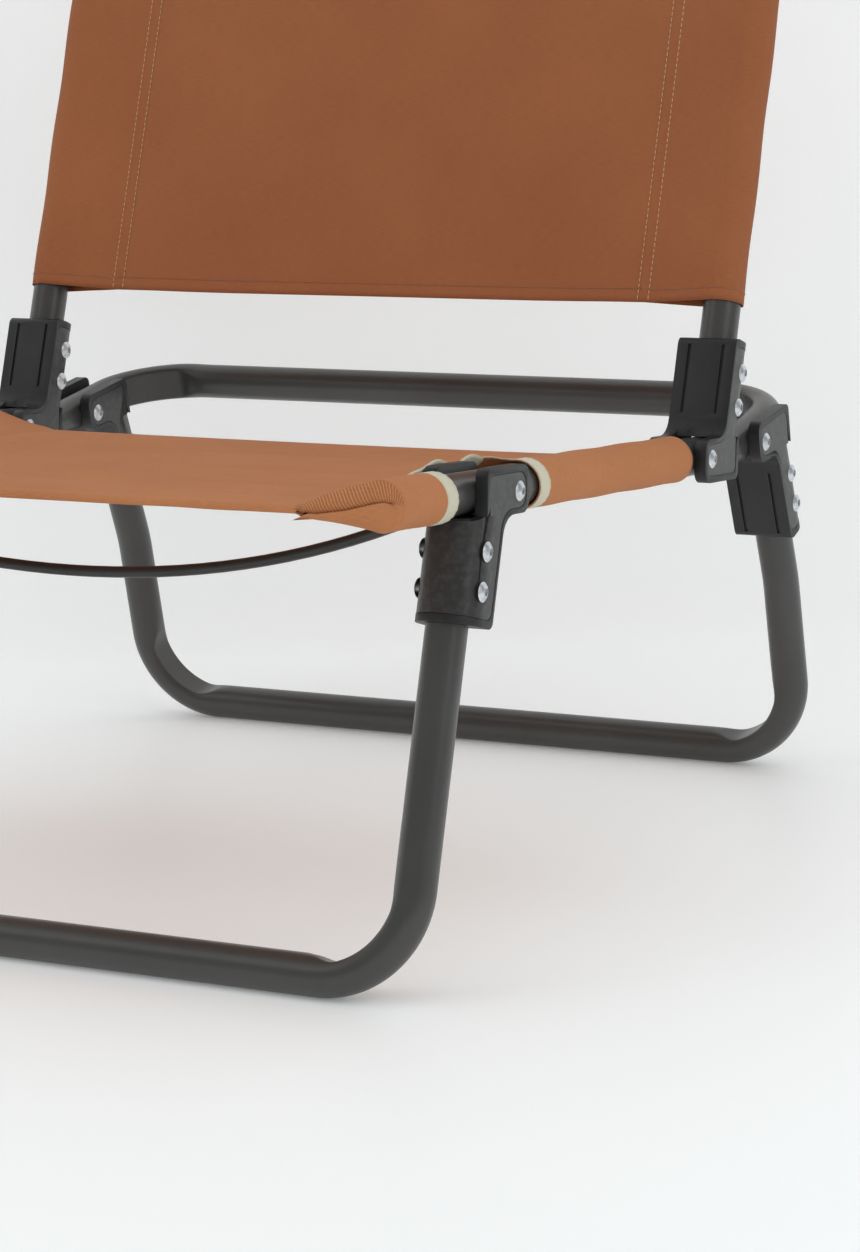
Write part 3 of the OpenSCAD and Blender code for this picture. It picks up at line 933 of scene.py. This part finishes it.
def make_tape(side, points, normal, cut, dx, girth, rows):
    """The tape that binds a window, lying on the sleeve and the seat round the cut-out."""
    name = "left" if side < 0 else "right"
    columns = sleeve_columns(points, girth, side)
    columns = [j for j in columns if dx[j] >= WINDOW_IN - TAPE_W - NEAR]
    first, last = WINDOW_FRONT - TAPE_W - NEAR, WINDOW_BACK + TAPE_W + NEAR
    lines = [i for i, y in enumerate(rows) if first <= y <= last]
    out = normal[columns][None, :, :]
    rib = 0.16 * MM * np.sin(np.arange(len(columns)) * 2.4)[None, :, None]
    grid = points[np.ix_(lines, columns)] + out * TAPE_OUT + rib * out
    hole = window_cells(rows[lines], dx[columns])
    return sheet_object(
        f"seat_binding_{name}_tape", grid, cut[columns], rows[lines], ~hole, TAPE,
        (f"seat_binding_{name}",), TAPE_T,
    )


def make_tape_lip(side, points, normal, cut, dx, girth, rows):
    """The tape where it laps round the window's free inner edge and under it."""
    name = "left" if side < 0 else "right"
    low, high = WINDOW_IN - TAPE_LAP, WINDOW_IN + NEAR
    columns = sleeve_columns(points, girth, side)
    columns = [j for j in columns if girth[j] < SEAM and low <= dx[j] < high]
    columns.sort(key=lambda j: -dx[j])
    first, last = WINDOW_FRONT - 2 * MM, WINDOW_BACK + 2 * MM
    lines = [i for i, y in enumerate(rows) if first <= y <= last]
    cloth_at = points[np.ix_(lines, columns)]
    out = normal[columns][None, :, :] * TAPE_OUT
    beyond = unit(cloth_at[:, 0] - cloth_at[:, 1]) * TAPE_OUT
    edge = (cloth_at[:, 0] + beyond)[:, None]
    grid = np.concatenate([(cloth_at + out)[:, :1], edge, cloth_at - out], axis=1)
    run = cut[columns[0]] + np.arange(grid.shape[1]) * TAPE_OUT
    keep = np.ones((grid.shape[0] - 1, grid.shape[1] - 1), bool)
    lip = sheet_object(
        f"seat_binding_{name}_lip", grid, run, rows[lines], keep, TAPE, (), TAPE_T,
    )
    outward(lip)
    return lip


def seat_stitches(points, normal, dx, girth, rows):
    """Hem, sleeve seam and window stitching of the seat."""
    def facing_up(line):
        return line, np.repeat(np.array([[0.0, 0.0, 1.0]]), len(line), 0)

    def row_at(y):
        return int(np.argmin(abs(rows - y)))

    panel = [j for j in range(len(dx)) if girth[j] < 0]
    hem_rows = (row_at(SEAT_FRONT + 10 * MM), row_at(SEAT_BACK - 10 * MM))
    hems = [facing_up(points[row, panel]) for row in hem_rows]
    seams, rear, tape_lines = [], [], []
    for side in (-1, 1):
        seam_x = side * (HALF - SEAM + 1 * MM)
        top = [j for j in range(len(dx)) if girth[j] <= SEAM]
        j = min(top, key=lambda k: abs(points[5, k, 0] - seam_x))
        seams.append(facing_up(points[3:-3, j]))
        ring = sleeve_columns(points, girth, side)
        rear.append((points[row_at(SEAT_BACK - 9 * MM), ring], normal[ring]))
        ring = [j for j in ring if dx[j] > WINDOW_IN]
        for y in (WINDOW_FRONT - TAPE_W + 2 * MM, WINDOW_BACK + TAPE_W - 2 * MM):
            line = points[row_at(y), ring] + normal[ring] * TAPE_OUT
            line[:, 1] = y
            tape_lines.append((line, normal[ring]))
    return [
        stitches("seat_hem_stitches", hems, "seat", THREAD_DARK, 3.2, 2.5, 0.3),
        stitches("seat_seam_stitches", seams, "seat", THREAD_DARK, 3.2, 2.5, 0.32),
        stitches("seat_sleeve_end_stitches", rear, "seat", THREAD_DARK, 3.2, 2.4, 0.3),
        stitches("seat_tape_stitches", tape_lines, "seat", THREAD_CREAM, 2.9, 2.2, 0.24),
    ]


# Back canvas

HEM_UP = 110 * MM
CORNER_STEPS = 12
DOUBLED = 2 * MM * 0.26


def make_back():
    high_b, low_a = rivet_line("back_frame_rivets", 1)
    up2 = unit(high_b - low_a)
    up = np.array([0.0, *up2])
    front = np.array([0.0, -up2[1], up2[0]])
    right = np.array([1.0, 0.0, 0.0])
    foot = low_a + up2 * ((BACK - low_a) @ up2)
    base = np.array([0.0, *foot])
    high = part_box("back_frame")[1]
    top_w = (np.array([high[1] - TUBE_R, high[2] - TUBE_R]) - foot) @ up2
    hem_w = HEM_UP
    inset = BEND_R
    corner_w = top_w - inset
    edge_x = HALF - inset

    def at(x, w, depth):
        """A point of the back: across, up along it, and in front of the tubes' plane."""
        x, w, depth = np.broadcast_arrays(x, w, depth)
        return base + x[..., None] * right + w[..., None] * up + depth[..., None] * front

    profile, normals, girth = sleeve_profile(SLEEVE_R, inset, 0.0)
    leg_w = np.linspace(hem_w, corner_w, 62)
    bar_x = np.linspace(-edge_x, edge_x, 90)
    corner = np.linspace(0, math.pi / 2, CORNER_STEPS + 1)[1:-1]
    outward_dirs, seams = [], []
    for w in leg_w:
        outward_dirs.append((-1.0, 0.0))
        seams.append((-edge_x, w))
    for a in corner:
        outward_dirs.append((-math.cos(a), math.sin(a)))
        seams.append((-edge_x, corner_w))
    for x in bar_x:
        outward_dirs.append((0.0, 1.0))
        seams.append((x, corner_w))
    for a in reversed(corner):
        outward_dirs.append((math.cos(a), math.sin(a)))
        seams.append((edge_x, corner_w))
    for w in reversed(leg_w):
        outward_dirs.append((1.0, 0.0))
        seams.append((edge_x, w))
    outward_dirs, seams = np.array(outward_dirs), np.array(seams)
    out = profile[:, 0] + inset
    depth = profile[:, 1]
    stations = len(seams)
    along_run = run_of(seams + outward_dirs * inset)
    wander = 2.2 * np.sin(girth[None, :] / (23 * MM))
    ripple = 0.35 * MM * np.sin(along_run[:, None] / (14 * MM) + wander)
    ripple = ripple * smooth(girth / (25 * MM))[None, :]
    ripple = ripple * smooth((girth.max() - girth) / (25 * MM))[None, :]
    outwards = out[None, :] + normals[None, :, 0] * ripple
    xs = seams[:, 0:1] + outward_dirs[:, 0:1] * outwards
    ws = seams[:, 1:2] + outward_dirs[:, 1:2] * outwards
    rim = at(xs, ws, depth[None, :] + normals[None, :, 1] * ripple)
    panel_x, panel_w = np.meshgrid(bar_x, leg_w, indexing="ij")
    panel_d = back_ripples(panel_x, panel_w, edge_x, hem_w, corner_w)
    panel = at(panel_x, panel_w, panel_d)

    verts = [*rim.reshape(-1, 3), *panel.reshape(-1, 3)]
    uvs = []
    for k in range(stations):
        for g in girth:
            uvs.append(tuple(seams[k] + outward_dirs[k] * g))
    uvs += [(x, w) for x, w in zip(panel_x.ravel(), panel_w.ravel())]
    columns = len(girth)
    faces = [tuple(reversed(f)) for f in grid_faces(stations, columns)]
    offset = stations * columns
    faces += [tuple(offset + i for i in f) for f in grid_faces(len(bar_x), len(leg_w))]
    canvas = piece(
        "back_canvas_cloth", verts, faces, "backrest", BACK_CLOTH, ("back_canvas",), uvs,
    )
    bm = bmesh.new()
    bm.from_mesh(canvas.data)
    bmesh.ops.remove_doubles(bm, verts=bm.verts, dist=0.02 * MM)
    bmesh.ops.dissolve_degenerate(bm, dist=0.001 * MM, edges=bm.edges)
    bmesh.ops.recalc_face_normals(bm, faces=bm.faces)
    panel_middle = Vector(at(0.0, (hem_w + corner_w) / 2, 0.0))
    middle = min(bm.faces, key=lambda f: (f.calc_center_median() - panel_middle).length)
    if middle.normal.dot(Vector(front)) < 0:
        bmesh.ops.reverse_faces(bm, faces=bm.faces)
    bm.to_mesh(canvas.data)
    bm.free()
    thicken(canvas, CLOTH_T)

    def facing_front(x, w, depth):
        line = at(x, w, depth)
        return line, np.repeat(front[None, :], len(line), 0)

    sides, tops = [], []
    inner, outer = (-6 * MM, 8 * MM, 0.25 * MM), (2 * MM, 4 * MM, DOUBLED)
    for sign in (-1, 1):
        for shift, reach, rise in (inner, outer):
            w = np.linspace(hem_w + 1 * MM, corner_w + reach, 60)
            sides.append(facing_front(sign * (edge_x + shift), w, rise))
    x = np.linspace(-edge_x + 4 * MM, edge_x - 4 * MM, 90)
    for shift, reach, rise in (inner, outer):
        tops.append(facing_front(x, corner_w + shift, rise))
    w = hem_w + 9 * MM
    x = np.linspace(-edge_x, edge_x, 90)
    hem_d = back_ripples(x, w, edge_x, hem_w, corner_w) + 0.1 * MM
    hem = [facing_front(x, w, hem_d)]
    for sign in (-1, 1):
        near = int(np.argmin(abs(leg_w - w)))
        k = near if sign < 0 else stations - 1 - near
        hem.append((rim[k], normals[:, 0:1] * (sign * right) + normals[:, 1:2] * front))
    sewn = [
        stitches("back_seam_stitches", sides, "backrest", THREAD, 4.0, 3.0, 0.36),
        stitches("back_top_stitches", tops, "backrest", THREAD, 4.0, 3.0, 0.36),
        stitches("back_hem_stitches", hem, "backrest", THREAD_DARK, 3.2, 2.5, 0.3),
    ]


def back_ripples(x, w, edge_x, hem_w, corner_w):
    """A slight hollow in the tight panel, and very faint pulls near its lower corners."""
    side = 1 - np.abs(x) / edge_x
    hollow = -3.0 * MM * smooth(side * 2.2) * smooth((corner_w - w) / (90 * MM))
    edge = smooth(side * 6) * smooth((corner_w - w) / (40 * MM))
    faint = 0.3 * MM * np.sin(x / (37 * MM) + 1.7 * np.sin(w / (52 * MM)))
    faint = faint * np.sin(w / (61 * MM) + 0.6)
    pull = 0.35 * MM * np.sin((np.abs(x) + 0.8 * (w - hem_w)) / (9 * MM))
    pull = pull * np.exp(-(w - hem_w) / (40 * MM)) * np.exp(-side * 5)
    return hollow + (faint + pull) * edge


# Camera, light and floor

# The camera solved from the photo, in radians, metres and millimetres of lens
YAW, PITCH, ROLL = 0.4971263, 0.2068115, -0.0376490
EYE = (1.20332, FRONT[0] - 1.80349, 0.62423)
LENS = 101.67
SENSOR = 36.0


def make_camera():
    flat = math.cos(PITCH)
    ahead = Vector((-math.sin(YAW) * flat, math.cos(YAW) * flat, -math.sin(PITCH)))
    level = Vector((math.cos(YAW), math.sin(YAW), 0.0))
    rise = level.cross(ahead)
    across = math.cos(ROLL) * level + math.sin(ROLL) * rise
    upward = -math.sin(ROLL) * level + math.cos(ROLL) * rise
    data = bpy.data.cameras.new("camera")
    data.lens = LENS
    data.sensor_width = SENSOR
    camera = add_object("camera", data)
    turn = Matrix((across, upward, -ahead)).transposed()
    camera.matrix_world = Matrix.Translation(EYE) @ turn.to_4x4()
    bpy.context.scene.camera = camera


def area_light(name, place, aim, size, watts):
    data = bpy.data.lights.new(name, "AREA")
    data.shape = "RECTANGLE"
    data.size, data.size_y = size
    data.energy = watts
    lamp = add_object(name, data)
    lamp.location = place
    lamp.rotation_mode = "QUATERNION"
    lamp.rotation_quaternion = (Vector(aim) - Vector(place)).to_track_quat("-Z", "Y")


def see_through_from_behind(paper, shader):
    """Lets a view from behind the backdrop pass through it."""
    tree = paper.node_tree
    output = next(n for n in tree.nodes if n.type == "OUTPUT_MATERIAL")
    side = tree.nodes.new("ShaderNodeNewGeometry")
    clear = tree.nodes.new("ShaderNodeBsdfTransparent")
    choice = tree.nodes.new("ShaderNodeMixShader")
    tree.links.new(side.outputs["Backfacing"], choice.inputs[0])
    tree.links.new(shader.outputs[0], choice.inputs[1])
    tree.links.new(clear.outputs[0], choice.inputs[2])
    tree.links.new(choice.outputs[0], output.inputs["Surface"])
    return paper


def pale_floor():
    """Lit studio paper: nearly white, with a little even light of its own."""
    paper = surface_material("pale_floor", (0.86, 0.88, 0.885), (0.885, 0.905, 0.91), 0.5)
    shader = next(n for n in paper.node_tree.nodes if n.type == "BSDF_PRINCIPLED")
    shader.inputs["Emission Color"].default_value = (1.0, 1.0, 0.995, 1.0)
    shader.inputs["Emission Strength"].default_value = OWN_LIGHT
    return see_through_from_behind(paper, shader)


CURVE_STEPS = 12
GROUND_Z = -1.5 * MM
OWN_LIGHT = 0.14


def make_studio():
    ahead = Vector((-math.sin(YAW), math.cos(YAW), 0.0))
    level = Vector((math.cos(YAW), math.sin(YAW), 0.0))
    wall_at, curve, high, wide, near = 0.62, 0.05, 3.2, 5.0, -4.0
    outline = [(near, 0.0), (wall_at - curve, 0.0)]
    for k in range(1, CURVE_STEPS + 1):
        a = math.pi / 2 * k / CURVE_STEPS
        outline.append((wall_at - curve + curve * math.sin(a), curve - curve * math.cos(a)))
    outline.append((wall_at, high))
    verts, faces = [], []
    for along, z in outline:
        for across in (-wide, wide):
            verts.append(ahead * along + level * across + Vector((0, 0, z)))
    for k in range(len(outline) - 1):
        faces.append((2 * k, 2 * k + 1, 2 * k + 3, 2 * k + 2))
    mesh = bpy.data.meshes.new("backdrop")
    mesh.from_pydata(verts, [], faces)
    mesh.polygons.foreach_set("use_smooth", [True] * len(mesh.polygons))
    mesh.materials.append(pale_floor())
    add_object("backdrop", mesh)

    ground = bpy.data.meshes.new("ground")
    corners = [(-wide, -wide), (wide, -wide), (wide, wide), (-wide, wide)]
    ground.from_pydata([(x, y, GROUND_Z) for x, y in corners], [], [(0, 1, 2, 3)])
    ground.materials.append(mesh.materials[0])
    add_object("ground", ground)

    world = bpy.data.worlds.new("studio")
    bpy.context.scene.world = world
    world.use_nodes = True
    tree = world.node_tree
    background = tree.nodes["Background"]
    background.inputs["Color"].default_value = (0.99, 1.0, 1.0, 1.0)
    rays = tree.nodes.new("ShaderNodeLightPath")
    strength = tree.nodes.new("ShaderNodeMapRange")
    strength.inputs["To Min"].default_value = 0.8
    strength.inputs["To Max"].default_value = 0.3
    tree.links.new(rays.outputs["Is Glossy Ray"], strength.inputs["Value"])
    tree.links.new(strength.outputs["Result"], background.inputs["Strength"])
    area_light("key", (-1.6, -2.0, 2.4), (0.0, 0.0, 0.25), (1.5, 1.5), 6)
    area_light("fill", (2.6, -0.6, 1.5), (0.0, 0.0, 0.2), (1.2, 1.8), 7)
    area_light("top", (0.2, -0.3, 3.0), (0.0, 0.1, 0.0), (2.8, 2.8), 3)
    bpy.context.scene.view_settings.view_transform = "Standard"


make_camera()
make_studio()
make_tubes()
make_brackets()
dress_cad_nodes()
make_seat()
make_back()
